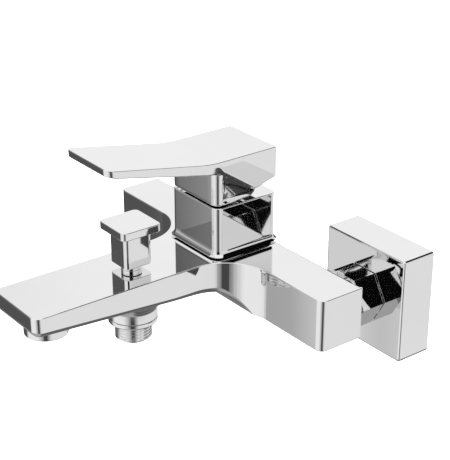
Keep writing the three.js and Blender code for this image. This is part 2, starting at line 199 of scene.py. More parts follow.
def tube(outer, inner, low, high, soft=0.2, segments=64):
    return turned(softProfile([(inner, low), (outer, low), (outer, high), (inner, high)], soft), segments)


# A body that is symmetric about x = 0, with a top and an underside that depend on y. rim is its right-hand outline.
# Its edges are rounded by bottomSoft, which depends on y, and by topSoft, which depends on the rim's normal.
def slab(rim, topAt, bottomAt, topSoft, bottomSoft, columns, flatFrom=None, flatTop=False, steps=3, walls=1):
    verts, faces = [], []

    def put(x, y, z):
        verts.append((x, y, z))
        return len(verts) - 1

    def chain(x, y, nx, ny):
        soft, crown = bottomSoft(y), topSoft(ny)
        ids = []
        for k in range(steps + 1):
            a = quarter * k / steps
            px, py = x - nx * soft * (1 - math.sin(a)), y - ny * soft * (1 - math.sin(a))
            ids.append(put(px, py, bottomAt(py) + soft * (1 - math.cos(a))))
        wallLow, wallHigh = bottomAt(y) + soft, topAt(y) - crown
        for k in range(1, walls):
            ids.append(put(x, y, mix(wallLow, wallHigh, k / walls)))
        for k in range(steps + 1):
            a = quarter * k / steps
            px, py = x - nx * crown * (1 - math.cos(a)), y - ny * crown * (1 - math.cos(a))
            ids.append(put(px, py, topAt(py) - crown * (1 - math.sin(a))))
        return ids

    def across(end, ny):
        x, y = end[0], end[1]
        return [chain(mix(-x, x, k / columns), y, 0, ny) for k in range(columns + 1)]

    front = across(rim[0], -1)
    rear = across(rim[-1], 1)
    right = [front[-1]] + [chain(*p) for p in rim[1:-1]] + [rear[-1]]
    left = [front[0]] + [chain(-x, y, -nx, ny) for x, y, nx, ny in rim[1:-1]] + [rear[0]]
    ring = front + right[1:-1] + rear[::-1] + left[-2:0:-1]
    for c, here in enumerate(ring):
        there = ring[(c + 1) % len(ring)]
        for j in range(len(here) - 1):
            faces.append((here[j], there[j], there[j + 1], here[j + 1]))

    def row(i, level, heightAt):
        if i == 0:
            return [c[level] for c in front]
        if i == len(rim) - 1:
            return [c[level] for c in rear]
        a, b = left[i][level], right[i][level]
        y = verts[b][1]
        inner = [put(mix(verts[a][0], verts[b][0], k / columns), y, heightAt(y)) for k in range(1, columns)]
        return [a] + inner + [b]

    def cover(level, heightAt, flip, last):
        rows = [row(i, level, heightAt) for i in range(last + 1)]
        for lower, upper in zip(rows, rows[1:]):
            for k in range(columns):
                face = (lower[k], upper[k], upper[k + 1], lower[k + 1])
                faces.append(face[::-1] if flip else face)
        return rows[-1]

    last = len(rim) - 1 if flatFrom is None else flatFrom
    edge = cover(0, bottomAt, False, last)
    if flatFrom is not None:
        loop = edge + [c[0] for c in right[last + 1:-1]] + [c[0] for c in rear[::-1]]
        loop += [c[0] for c in left[-2:last:-1]]
        faces.append(tuple(reversed(loop)))
    if flatTop:
        faces.append(tuple(c[-1] for c in ring))
    else:
        cover(-1, topAt, True, len(rim) - 1)
    return verts, faces


def moved(shape, matrix):
    verts, faces = shape
    return [tuple(matrix @ Vector(v)) for v in verts], faces


def shifted(shape, x=0, y=0, z=0):
    return moved(shape, Matrix.Translation((x, y, z)))


# ---- Pieces ----

def rawObject(name, shape):
    verts, faces = shape
    mesh = bpy.data.meshes.new(name)
    mesh.from_pydata([tuple(c * toMetres for c in v) for v in verts], [], faces)
    mesh.validate()
    obj = bpy.data.objects.new(name, mesh)
    bpy.context.scene.collection.objects.link(obj)
    return obj


def bake(obj):
    bpy.context.view_layer.update()
    mesh = bpy.data.meshes.new_from_object(obj.evaluated_get(bpy.context.evaluated_depsgraph_get()))
    obj.modifiers.clear()
    obj.data = mesh


def combine(obj, tools, operation):
    for shape in tools:
        tool = rawObject("tool", shape)
        change = obj.modifiers.new("combine", "BOOLEAN")
        change.operation = operation
        change.solver = "MANIFOLD"
        change.object = tool
        bake(obj)
        bpy.data.objects.remove(tool)


def makePiece(name, shape, finish, body, node, joins=(), cuts=(), sharp=38):
    obj = rawObject(name, shape)
    combine(obj, joins, "UNION")
    combine(obj, cuts, "DIFFERENCE")
    obj.data.materials.clear()
    obj.data.materials.append(finishes[finish])
    obj.data.shade_smooth()
    obj.data.set_sharp_from_angle(angle=math.radians(sharp))
    weighted = obj.modifiers.new("facesFirst", "WEIGHTED_NORMAL")
    weighted.keep_sharp = True
    weighted.weight = 90
    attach(obj, body)
    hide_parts(node)
    return obj


# ---- Shared effects ----

def newGroup(name, inputs, outputs):
    group = bpy.data.node_groups.new(name, "ShaderNodeTree")
    for label, value in inputs:
        socket = group.interface.new_socket(label, in_out="INPUT", socket_type="NodeSocketFloat")
        socket.default_value = value
    for label in outputs:
        group.interface.new_socket(label, in_out="OUTPUT", socket_type="NodeSocketFloat")
    return group, group.nodes.new("NodeGroupInput"), group.nodes.new("NodeGroupOutput")


def mathNode(tree, operation, first, second=None, clamp=False):
    node = tree.nodes.new("ShaderNodeMath")
    node.operation = operation
    node.use_clamp = clamp
    for socket, value in zip(node.inputs, (first, second)):
        if isinstance(value, bpy.types.NodeSocket):
            tree.links.new(value, socket)
        elif value is not None:
            socket.default_value = value
    return node.outputs[0]


def rangeNode(tree, value, low, high, outLow, outHigh):
    node = tree.nodes.new("ShaderNodeMapRange")
    node.interpolation_type = "SMOOTHSTEP"
    tree.links.new(value, node.inputs["Value"])
    for label, number in (("From Min", low), ("From Max", high), ("To Min", outLow), ("To Max", outHigh)):
        if isinstance(number, bpy.types.NodeSocket):
            tree.links.new(number, node.inputs[label])
        else:
            node.inputs[label].default_value = number
    return node.outputs["Result"]


# Patchy unevenness in the piece's own space: polish, handling and casting differences.
def makeMottle():
    group, given, out = newGroup("mottle", [("Scale", 40), ("Detail", 3), ("Stretch", 1)], ["Value"])
    place = group.nodes.new("ShaderNodeTexCoord")
    mapping = group.nodes.new("ShaderNodeMapping")
    joined = group.nodes.new("ShaderNodeCombineXYZ")
    joined.inputs["X"].default_value = 1
    joined.inputs["Y"].default_value = 1
    noise = group.nodes.new("ShaderNodeTexNoise")
    group.links.new(given.outputs["Stretch"], joined.inputs["Z"])
    group.links.new(place.outputs["Object"], mapping.inputs["Vector"])
    group.links.new(joined.outputs["Vector"], mapping.inputs["Scale"])
    group.links.new(mapping.outputs["Vector"], noise.inputs["Vector"])
    group.links.new(given.outputs["Scale"], noise.inputs["Scale"])
    group.links.new(given.outputs["Detail"], noise.inputs["Detail"])
    group.links.new(rangeNode(group, noise.outputs["Fac"], 0.32, 0.68, 0, 1), out.inputs["Value"])
    return group


# Where an edge has been rubbed: the normal differs from the one averaged over a small radius.
def makeEdgeRub():
    group, given, out = newGroup("edgeRub", [("Width", 0.0006), ("Strength", 1)], ["Mask"])
    bevel = group.nodes.new("ShaderNodeBevel")
    bevel.samples = 4
    surface = group.nodes.new("ShaderNodeNewGeometry")
    dot = group.nodes.new("ShaderNodeVectorMath")
    dot.operation = "DOT_PRODUCT"
    noise = group.nodes.new("ShaderNodeTexNoise")
    noise.inputs["Scale"].default_value = 420
    group.links.new(given.outputs["Width"], bevel.inputs["Radius"])
    group.links.new(bevel.outputs["Normal"], dot.inputs[0])
    group.links.new(surface.outputs["Normal"], dot.inputs[1])
    edge = rangeNode(group, dot.outputs["Value"], 0.999, 0.93, 0, 1)
    broken = mathNode(group, "MULTIPLY", edge, rangeNode(group, noise.outputs["Fac"], 0.3, 0.7, 0.35, 1))
    group.links.new(mathNode(group, "MULTIPLY", broken, given.outputs["Strength"], True), out.inputs["Mask"])
    return group


# Faint rings left where drops of water have dried.
def makeDriedDrops():
    group, given, out = newGroup("driedDrops", [("Scale", 120), ("Amount", 0.5)], ["Mask"])
    place = group.nodes.new("ShaderNodeTexCoord")
    cells = group.nodes.new("ShaderNodeTexVoronoi")
    patch = group.nodes.new("ShaderNodeTexNoise")
    patch.inputs["Scale"].default_value = 30
    group.links.new(place.outputs["Object"], cells.inputs["Vector"])
    group.links.new(place.outputs["Object"], patch.inputs["Vector"])
    group.links.new(given.outputs["Scale"], cells.inputs["Scale"])
    inner = rangeNode(group, cells.outputs["Distance"], 0.16, 0.24, 0, 1)
    outer = rangeNode(group, cells.outputs["Distance"], 0.25, 0.31, 1, 0)
    ring = mathNode(group, "MULTIPLY", inner, outer)
    sparse = rangeNode(group, patch.outputs["Fac"], 0.52, 0.62, 0, 1)
    shown = mathNode(group, "MULTIPLY", mathNode(group, "MULTIPLY", ring, sparse), given.outputs["Amount"], True)
    group.links.new(shown, out.inputs["Mask"])
    return group


effects = {"mottle": makeMottle(), "edgeRub": makeEdgeRub(), "driedDrops": makeDriedDrops()}


# ---- Finishes ----

def tone(value):
    return value / 12.92 if value <= 0.04045 else ((value + 0.055) / 1.055) ** 2.4


def addEffect(tree, name, **values):
    node = tree.nodes.new("ShaderNodeGroup")
    node.node_tree = effects[name]
    for label, value in values.items():
        node.inputs[label].default_value = value
    return node.outputs[0]


def colourBlend(tree, mask, first, second):
    node = tree.nodes.new("ShaderNodeMix")
    node.data_type = "RGBA"
    tree.links.new(mask, node.inputs["Factor"])
    for label, colour in (("A", first), ("B", second)):
        socket = [s for s in node.inputs if s.name == label and s.type == "RGBA"][0]
        if isinstance(colour, bpy.types.NodeSocket):
            tree.links.new(colour, socket)
        else:
            socket.default_value = (*colour, 1)
    return [s for s in node.outputs if s.type == "RGBA"][0]


def newFinish(name, look):
    material = bpy.data.materials.new(name)
    material.use_nodes = True
    tree = material.node_tree
    shader = tree.nodes["Principled BSDF"]
    shader.inputs["Metallic"].default_value = look["metal"]
    shader.inputs["IOR"].default_value = look.get("ior", 1.5)
    mottle = addEffect(tree, "mottle", Scale=look["grain"], Detail=look.get("detail", 3),
                       Stretch=look.get("stretch", 1))
    rub = addEffect(tree, "edgeRub", Width=look["rubWidth"], Strength=look["rubStrength"])
    base = colourBlend(tree, mottle, look["colour"], look["colourVaried"])
    tree.links.new(colourBlend(tree, rub, base, look["rubColour"]), shader.inputs["Base Color"])
    rough = rangeNode(tree, mottle, 0, 1, look["roughLow"], look["roughHigh"])
    rough = mathNode(tree, "ADD", rough, mathNode(tree, "MULTIPLY", rub, look["rubRough"]), True)
    if "drops" in look:
        drops = addEffect(tree, "driedDrops", Scale=look["dropScale"], Amount=look["drops"])
        rough = mathNode(tree, "ADD", rough, mathNode(tree, "MULTIPLY", drops, look["dropRough"]), True)
    tree.links.new(rough, shader.inputs["Roughness"])
    fine = addEffect(tree, "mottle", Scale=look["bumpScale"], Detail=4, Stretch=look.get("stretch", 1))
    bump = tree.nodes.new("ShaderNodeBump")
    bump.inputs["Strength"].default_value = look["bumpStrength"]
    bump.inputs["Distance"].default_value = look["bumpDepth"]
    tree.links.new(fine, bump.inputs["Height"])
    tree.links.new(bump.outputs["Normal"], shader.inputs["Normal"])
    return material


chromeLook = {
    "metal": 1, "colour": (0.935, 0.935, 0.935), "colourVaried": (0.918, 0.918, 0.919),
    "grain": 26, "roughLow": 0.022, "roughHigh": 0.042,
    "rubWidth": 0.0004, "rubStrength": 0.5, "rubColour": (0.9, 0.9, 0.9), "rubRough": 0.04,
    "drops": 0.5, "dropScale": 170, "dropRough": 0.03,
    "bumpScale": 60, "bumpStrength": 0.04, "bumpDepth": 0.00002,
}
brassLook = {
    "metal": 1, "colour": (0.74, 0.52, 0.22), "colourVaried": (0.62, 0.42, 0.17),
    "grain": 90, "roughLow": 0.22, "roughHigh": 0.38, "stretch": 9,
    "rubWidth": 0.0005, "rubStrength": 0.9, "rubColour": (0.9, 0.72, 0.38), "rubRough": -0.08,
    "bumpScale": 320, "bumpStrength": 0.2, "bumpDepth": 0.00005,
}
steelLook = {
    "metal": 1, "colour": (0.58, 0.585, 0.59), "colourVaried": (0.5, 0.505, 0.515),
    "grain": 120, "roughLow": 0.2, "roughHigh": 0.34, "stretch": 12,
    "rubWidth": 0.0004, "rubStrength": 0.8, "rubColour": (0.75, 0.76, 0.77), "rubRough": -0.05,
    "bumpScale": 400, "bumpStrength": 0.2, "bumpDepth": 0.00004,
}
rubberLook = {
    "metal": 0, "colour": (0.012, 0.012, 0.013), "colourVaried": (0.022, 0.022, 0.023),
    "grain": 150, "roughLow": 0.62, "roughHigh": 0.8,
    "rubWidth": 0.0003, "rubStrength": 0.6, "rubColour": (0.05, 0.05, 0.05), "rubRough": -0.1,
    "bumpScale": 900, "bumpStrength": 0.3, "bumpDepth": 0.00006,
}
acetalLook = {
    "metal": 0, "colour": (0.78, 0.78, 0.75), "colourVaried": (0.72, 0.72, 0.69), "ior": 1.48,
    "grain": 60, "roughLow": 0.36, "roughHigh": 0.5,
    "rubWidth": 0.0004, "rubStrength": 0.5, "rubColour": (0.86, 0.86, 0.84), "rubRough": 0.06,
    "bumpScale": 500, "bumpStrength": 0.15, "bumpDepth": 0.00004,
}
ceramicLook = {
    "metal": 0, "colour": (0.72, 0.68, 0.58), "colourVaried": (0.66, 0.62, 0.53), "ior": 1.7,
    "grain": 80, "roughLow": 0.16, "roughHigh": 0.28,
    "rubWidth": 0.0003, "rubStrength": 0.6, "rubColour": (0.8, 0.77, 0.68), "rubRough": 0.1,
    "bumpScale": 700, "bumpStrength": 0.1, "bumpDepth": 0.00002,
}
greyPlasticLook = {
    "metal": 0, "colour": (0.15, 0.155, 0.16), "colourVaried": (0.12, 0.125, 0.13), "ior": 1.49,
    "grain": 70, "roughLow": 0.3, "roughHigh": 0.42,
    "rubWidth": 0.0003, "rubStrength": 0.6, "rubColour": (0.24, 0.245, 0.25), "rubRough": 0.08,
    "bumpScale": 600, "bumpStrength": 0.2, "bumpDepth": 0.00005,
}
finishes = {
    "chrome": newFinish("polishedChrome", chromeLook),
    "brass": newFinish("machinedBrass", brassLook),
    "steel": newFinish("turnedSteel", steelLook),
    "rubber": newFinish("blackRubber", rubberLook),
    "acetal": newFinish("whiteAcetal", acetalLook),
    "ceramic": newFinish("lappedCeramic", ceramicLook),
    "grey_plastic": newFinish("greyPlastic", greyPlasticLook),
}
print("finishes made:", ", ".join(finishes))


# ---- Places taken from the frame ----

bodyLow, bodyHigh = boxMm("body_casting")
sleeveLow, sleeveHigh = boxMm("cartridge_sleeve")
leverLow, leverHigh = boxMm("lever_handle")
capLow, capHigh = boxMm("diverter_knob_cap")
neckLow, neckHigh = boxMm("diverter_knob_neck")
nippleLow, nippleHigh = boxMm("shower_outlet_nipple")
ringLow, ringHigh = boxMm("aerator_ring")
nutLow, nutHigh = boxMm("union_nut_right")
coverLow, coverHigh = boxMm("escutcheon_right")
unionLow, unionHigh = boxMm("eccentric_union_right")
tailLow, tailHigh = boxMm("inlet_tail_right")
housingLow, housingHigh = boxMm("cartridge_housing")
gasketLow, gasketHigh = boxMm("sleeve_gasket")

cartridgeY = (housingLow.y + housingHigh.y) / 2
diverterY = (capLow.y + capHigh.y) / 2
aeratorY = (ringLow.y + ringHigh.y) / 2
inletX = (nutLow.x + nutHigh.x) / 2
topFace = gasketLow.z - 0.1

# The bar and the sleeve's foot are drawn closer than their CAD solids by these amounts.
drawnCloser = {"barEnd": 1.4, "barRear": 2, "barBottom": 0.4, "sleeveFoot": 0.6}
barEnd = bodyHigh.x - drawnCloser["barEnd"]
barRear = bodyHigh.y - drawnCloser["barRear"]
barBottom = bodyLow.z + drawnCloser["barBottom"]

smallPlay = 0.3


# ---- Body casting ----

bodyShape = {
    "tipHalf": 22.2, "tipCorner": 5, "fillet": 28, "barFront": -71, "barCorner": 4.5, "barRearCorner": 1.4,
    "underAtTip": 6.9, "underAtRoot": -2, "throat": 16, "throatStart": -88,
    "edge": 0.65, "rearEdge": 2.2, "underRound": 3.3, "throatRound": 4.5, "barUnderEdge": 0.6,
    "bossRadius": 14, "bossStraight": 5.5, "bossReach": 32, "bossSide": 19,
}


def undersideAt(y):
    shape = bodyShape
    start = shape["throatStart"]
    if y <= start:
        return mix(shape["underAtRoot"], shape["underAtTip"], (start - y) / (start - bodyLow.y + 10))
    across = min(y - start, shape["throat"])
    z = shape["underAtRoot"] - shape["throat"] + math.sqrt(shape["throat"] ** 2 - across ** 2)
    return max(z, barBottom)


def bodyRim():
    shape = bodyShape
    half, corner, fillet, front = shape["tipHalf"], shape["tipCorner"], shape["fillet"], shape["barFront"]
    rim = arc(half - corner, bodyLow.y + corner, corner, -90, 0, 8)
    sideEnd = front - fillet
    rim += [(half, mix(bodyLow.y + corner, sideEnd, k / 14), 1, 0) for k in range(1, 14)]
    places = {sideEnd + fillet * math.sin(quarter * k / 20) for k in range(21)}
    throat, start = shape["throat"], shape["throatStart"]
    for k in range(1, 19):
        y = start + throat * math.sin(quarter * k / 18)
        if y < front - 0.9:
            places.add(y)
    for y in sorted(places):
        angle = 180 - math.degrees(math.asin(min((y - sideEnd) / fillet, 1)))
        rim += arc(half + fillet, sideEnd, fillet, angle, angle, 1, hollow=True)[:1]
    end, edge = barEnd, shape["barCorner"]
    rim += arc(end - edge, front + edge, edge, -90, 0, 8)
    rear = shape["barRearCorner"]
    rim += arc(end - rear, barRear - rear, rear, 0, 90, 8)
    return rim


def undersideSoft(y):
    shape = bodyShape
    grown = mix(shape["underRound"], shape["throatRound"], ease(-116, shape["throatStart"], y))
    return mix(grown, shape["barUnderEdge"], ease(shape["throatStart"] + 2, shape["barFront"] - 1.5, y))


def topEdgeSoft(ny):
    return mix(bodyShape["edge"], bodyShape["rearEdge"], ease(0.9, 1, ny))


# The boss under the diverter flares out into the underside, and its flare is drawn in at the spout's sides.
def outletBoss():
    shape = bodyShape
    base, reach, side = shape["bossRadius"], shape["bossReach"], shape["bossSide"]
    low = -12
    start = (base, low + shape["bossStraight"])
    bend = (base + 1.5, 0.4)
    end = (reach, 1.8)
    flare = []
    for k in range(17):
        t = k / 16
        flare.append(tuple((1 - t) ** 2 * a + 2 * t * (1 - t) * b + t * t * c for a, b, c in zip(start, bend, end)))
    profile = [(0, low), (base - 0.4, low), (base - 0.1, low + 0.1), (base, low + 0.4)]
    verts, faces = turned(profile + flare + [(reach, 8), (0, 8)], 96)
    free = base + 0.6

    def drawnIn(x):
        over = abs(x) - free
        return x if over <= 0 else math.copysign(free + (side - free) * math.tanh(over / (side - free)), x)

    return shifted(([(drawnIn(x), y, z) for x, y, z in verts], faces), y=diverterY)


def bodyCuts():
    floor, seat = 10, -6
    chamberTop = 13.5
    boreRadius = 13
    tools = [
        shifted(rod(boreRadius, floor, bodyHigh.z + 1), y=cartridgeY),
        shifted(rod(boreRadius + 1, 38, bodyHigh.z + 1), y=cartridgeY),
        shifted(rod(3, 4, floor + 1), y=cartridgeY - 7.5),
        block(-8, 8, -80, -66, 2.4, 8),
        block(-9, 9, diverterY + 6, -77.5, 6, chamberTop),
        shifted(rod(9.2, seat, chamberTop), y=diverterY),
        shifted(rod(5.5, seat - 3, seat + 1), y=diverterY),
        shifted(rod(8.3, -13, seat - 1.7), y=diverterY),
        shifted(rod(5, chamberTop - 1, topFace + 1), y=diverterY),
        block(-8, 8, aeratorY + 8, diverterY - 7, 8.5, chamberTop),
        shifted(rod(ringHigh.x + smallPlay, 2, 5.2), y=aeratorY),
        shifted(rod(11.2, 2, 14), y=aeratorY),
    ]
    middleY = (barRear + bodyShape["barFront"]) / 2
    turnOut = Matrix.Rotation(quarter, 4, "X")
    for side in (-1, 1):
        passage = moved(rod(5.5, 3, inletX), Matrix.Rotation(side * quarter, 4, "Y"))
        tools.append(shifted(passage, y=middleY))
        tools.append(shifted(rod(2.6, 0, floor + 1), side * 6, cartridgeY + 4))
        tools.append(shifted(moved(rod(10.3, -barRear - 1, 10.3 - barRear), turnOut), side * inletX))
        tools.append(shifted(moved(rod(7, -barRear, 4 - middleY), turnOut), side * inletX))
    return tools


def makeBody():
    rim = bodyRim()
    flatFrom = next(i for i, p in enumerate(rim) if p[1] - p[3] * undersideSoft(p[1]) > bodyShape["barFront"] - 1)
    shell = slab(rim, lambda y: topFace, undersideAt, topEdgeSoft, undersideSoft, 12, flatFrom, True, 5)
    upstand = shifted(rod(17, 10, bodyHigh.z, 0.4, 64), y=cartridgeY)
    makePiece("bodyCasting", shell, "chrome", "body", "body_casting", [upstand, outletBoss()], bodyCuts())
    print("body casting made")


# ---- Inlets: drawn about local Z, which points out from the wall, with local Y up ----

inletShape = {
    "coverEdge": 1.4, "coverCorner": 2.1, "coverWall": 2, "coverSag": 0.6, "unionDrop": -5,
    "wallThread": 10.48, "swivelThread": 13.2, "pitch": 1.814, "threadDepth": 0.7,
    "nutFlats": 30, "nutEdge": 0.25,
}


# Points of a thread's profile on the outside of a rod, and the wave that its helix gives them.
def threadRun(radius, low, high, perPitch=10):
    count = round((high - low) / inletShape["pitch"] * perPitch)
    return [(radius, mix(low, high, k / count)) for k in range(count + 1)]


def threadWave(radius, low, high):
    pitch, depth = inletShape["pitch"], inletShape["threadDepth"]

    def wave(r, z, angle):
        if abs(r - radius) > 0.01 or not low <= z <= high:
            return r
        phase = (z / pitch - angle / (2 * math.pi)) % 1
        tooth = min(max(0.5 + 0.85 * math.cos(2 * math.pi * phase), 0), 1)
        fade = ease(low, low + pitch, z) * ease(high, high - pitch * 0.6, z)
        return r - depth * (1 - tooth) * fade

    return wave


def threadedRod(radius, low, high, threadLow, threadHigh):
    run = threadRun(radius, threadLow, threadHigh)
    profile = [(0, low), (radius - 1.1, low), (radius - 1.1, low + 0.05)] if low < threadLow else [(0, low)]
    profile += run
    profile += [(radius, high), (0, high)] if high > threadHigh else [(0, high)]
    return turned(profile, 96, threadWave(radius, threadLow, threadHigh))


# A hexagon with corners at local X, slightly broken edges and a turned bore.
def hexNut(acrossFlats, low, high, boreProfile, edge, segments=96):
    flat = acrossFlats / 2
    reach = flat / math.cos(math.pi / 6) - 0.08
    angles = [2 * math.pi * k / segments for k in range(segments)]

    def hexRing(inset, z):
        ring = []
        for angle in angles:
            turn = math.radians(math.degrees(angle) % 60 - 30)
            radius = min(flat / math.cos(turn), reach) - inset
            ring.append((radius * math.cos(angle), radius * math.sin(angle), z))
        return ring

    rings = [hexRing(inset, z) for inset, z in softLevels(low, high, edge, edge, 2)]
    for radius, z in boreProfile:
        rings.append([(radius * math.cos(angle), radius * math.sin(angle), z) for angle in angles])
    return loft(rings, closed=True)


def capsule(radius, drop, steps=16):
    return arc(0, 0, radius, 0, 180, steps) + arc(0, drop, radius, 180, 360, steps)


def makeUnion(place, suffix):
    shape = inletShape
    wallR, swivelR, drop = shape["wallThread"], shape["swivelThread"], shape["unionDrop"]
    wallEnd, unionEnd = -unionHigh.y, -unionLow.y
    wallPart = shifted(threadedRod(wallR, wallEnd, 3, wallEnd + 0.4, 1), y=drop)
    middle = prism(capsule(14.5, drop), softLevels(2, 9, 0.5, 0.5))
    swivelPart = threadedRod(swivelR, 8, unionEnd, 14, unionEnd - 0.3)
    wallBore = shifted(rod(7.5, wallEnd - 1, 6), y=drop)
    roomBore = rod(9.5, 5, unionEnd + 1)
    makePiece("eccentricUnion" + suffix, moved(middle, place), "chrome", "body", "eccentric_union_" + suffix.lower(),
              [moved(wallPart, place), moved(swivelPart, place)], [moved(wallBore, place), moved(roomBore, place)])


def makeEscutcheon(place, suffix):
    shape = inletShape
    half = (coverHigh.x - coverLow.x) / 2
    depth = coverHigh.y - coverLow.y
    inner = half - shape["coverWall"]
    outer = prism(roundedSquare(half, shape["coverCorner"], 5), softLevels(0, depth, 0.15, shape["coverEdge"], 6))
    hollow = block(-inner, inner, -inner, inner, -1, depth - shape["coverWall"], 0.8)
    hole = rod(shape["swivelThread"] + smallPlay + shape["coverSag"], 0, depth + 1, 0.2, 96)
    hung = place @ Matrix.Translation((0, -shape["coverSag"], 0))
    makePiece("escutcheon" + suffix, moved(outer, hung), "chrome", "body", "escutcheon_" + suffix.lower(),
              cuts=[moved(hollow, hung), moved(hole, hung)])


def makeUnionNut(place, suffix):
    shape = inletShape
    low, high = -nutHigh.y, -nutLow.y
    thread = shape["swivelThread"] + smallPlay
    lip = shape["wallThread"] + 0.4
    lipStart = 33.1
    bore = [
        (lip + 0.4, high), (lip, high - 0.4), (lip, lipStart),
        (thread, lipStart), (thread, low + 0.3), (thread + 0.3, low),
    ]
    nut = hexNut(shape["nutFlats"], low, high, bore, shape["nutEdge"])
    makePiece("unionNut" + suffix, moved(nut, place), "chrome", suffix.lower() + "_nut", "union_nut_" + suffix.lower())


def makeInletSeals(place, suffix):
    low, high = boxMm("union_washer_right")
    washer = tube(12.7, 8.3, -high.y, -low.y, 0.4)
    makePiece("unionWasher" + suffix, moved(washer, place), "rubber", "body", "union_washer_" + suffix.lower())
    flange, end = -tailHigh.y, -tailLow.y
    face = -barRear - smallPlay
    tail = softProfile([
        (7.2, flange), (12.9, flange), (12.9, flange + 1.5), (10.5, flange + 1.5),
        (10.5, face), (10, face), (10, end), (7.2, end),
    ], 0.35)
    makePiece("inletTail" + suffix, moved(turned(tail), place), "chrome", "body", "inlet_tail_" + suffix.lower())


def makeInlets():
    for side, suffix in ((-1, "Left"), (1, "Right")):
        place = Matrix.Translation((side * inletX, 0, 0)) @ Matrix.Rotation(quarter, 4, "X")
        makeUnion(place, suffix)
        makeEscutcheon(place, suffix)
        makeUnionNut(place, suffix)
        makeInletSeals(place, suffix)
    print("inlets made")


# ---- Sleeve and lever ----

sleeveShape = {
    "half": 21.5, "corner": 4.5, "footFlare": 1.9, "footHeight": 5, "topEdge": 0.7, "wall": 1.8, "hole": 10.8,
    "gasketInset": 1.2, "gasketWidth": 2.8, "gasketCorner": 2,
}


def makeSleeve():
    shape = sleeveShape
    low, high = sleeveLow.z - drawnCloser["sleeveFoot"], sleeveHigh.z
    flare, rise = shape["footFlare"], shape["footHeight"]
    levels = [(0.25 - flare, low), (0.07 - flare, low + 0.07), (-flare, low + 0.25)]
    for k in range(1, 9):
        t = k / 8
        levels.append((-flare * (1 - t) ** 3, low + 0.25 + (rise - 0.25) * t))
    levels += softLevels(low, high, 0, shape["topEdge"], 4)[5:]
    outer = prism(roundedSquare(shape["half"], shape["corner"], 12), levels)
    inner = prism(roundedSquare(shape["half"] - shape["wall"], shape["corner"] - shape["wall"], 6),
                  softLevels(low - 1, high - shape["wall"], 0.3, 0.3))
    hole = rod(shape["hole"], low, high + 1, 0.2, 96)
    makePiece("cartridgeSleeve", shifted(outer, y=cartridgeY), "chrome", "body", "cartridge_sleeve",
              cuts=[shifted(inner, y=cartridgeY), shifted(hole, y=cartridgeY)])
    inset = shape["gasketInset"]
    half = shape["half"] - inset
    ring = prism(roundedSquare(half, shape["corner"] - inset, 6), softLevels(gasketLow.z, low - 0.1, 0.2, 0.2))
    opening = prism(roundedSquare(half - shape["gasketWidth"], shape["gasketCorner"], 4),
                    softLevels(gasketLow.z - 1, gasketHigh.z + 1, 0.1, 0.1))
    makePiece("sleeveGasket", shifted(ring, y=cartridgeY), "rubber", "body", "sleeve_gasket",
              cuts=[shifted(opening, y=cartridgeY)])
    print("sleeve made")


leverShape = {
    "half": 21.3, "tipCorner": 5, "rearCorner": 0.9, "topLevel": 75, "tipThickness": 4.2, "tipLean": 0.15,
    "riseStart": -80, "riseEnd": -95, "riseEndTop": 76.5, "rootY": -84, "rootZ": 68,
    "creaseY": -60, "creaseZ": 53.4, "heelY": -56.4, "heelZ": 53.1, "rearZ": 57.4,
    "edge": 0.6, "creaseRound": 1.8,
    "hubHalf": 21.28, "hubCorner": 4.5, "hubFront": -84, "hubRear": -56, "hubBottom": 49.4, "hubFrontDrop": 0.8,
    "hubEdge": 1.1, "hubDraft": 0.09, "heelRadius": 6,
}


def leverTopAt(y):
    shape = leverShape
    start, end = shape["riseStart"], shape["riseEnd"]
    slope = (leverHigh.z - shape["riseEndTop"]) / (end - leverLow.y)
    if y <= end:
        return shape["riseEndTop"] + slope * (end - y)
    if y >= start:
        return shape["topLevel"]
    t = (start - y) / (start - end)
    bendZ = shape["topLevel"]
    return (1 - t) ** 2 * shape["topLevel"] + 2 * t * (1 - t) * bendZ + t * t * shape["riseEndTop"]


def through(points, y):
    for (y0, z0), (y1, z1) in zip(points, points[1:]):
        if y <= y1:
            return mix(z0, z1, (y - y0) / (y1 - y0))
    return points[-1][1]


def leverUnderAt(y):
    shape = leverShape
    return through([
        (leverLow.y, leverHigh.z - shape["tipThickness"]), (shape["rootY"], shape["rootZ"]),
        (shape["creaseY"], shape["creaseZ"]), (shape["heelY"], shape["heelZ"]), (leverHigh.y, shape["rearZ"]),
    ], y)


def leverSoft(y):
    shape = leverShape
    share = ease(shape["rootY"] - 6, shape["rootY"] + 6, y) * ease(shape["heelY"] + 3, shape["heelY"] - 3, y)
    return mix(shape["edge"], shape["creaseRound"], share)


def leverBlade():
    shape = leverShape
    half, corner, small = shape["half"], shape["tipCorner"], shape["rearCorner"]
    rim = arc(half - corner, leverLow.y + corner, corner, -90, 0, 8)
    places = [mix(leverLow.y + corner, shape["rootY"] - 8, k / 18) for k in range(1, 19)]
    places += [mix(shape["rootY"] - 8, leverHigh.y - small, k / 40) for k in range(1, 40)]
    rim += [(half, y, 1, 0) for y in places]
    rim += arc(half - small, leverHigh.y - small, small, 0, 90, 3)
    verts, faces = slab(rim, leverTopAt, leverUnderAt, lambda ny: shape["edge"], leverSoft, 10)
    leaned = []
    for x, y, z in verts:
        depth = (leverTopAt(y) - z) / shape["tipThickness"]
        fade = ease(leverLow.y + 12, leverLow.y, y)
        leaned.append((x, y + shape["tipLean"] * depth * fade, z))
    return leaned, faces


def hubUnderAt(y):
    shape = leverShape
    radius = shape["heelRadius"]
    heel = shape["hubRear"] - radius
    if y > heel:
        return shape["hubBottom"] + radius - math.sqrt(max(radius ** 2 - (y - heel) ** 2, 0))
    return shape["hubBottom"] - shape["hubFrontDrop"] * ease(-66, -76, y)


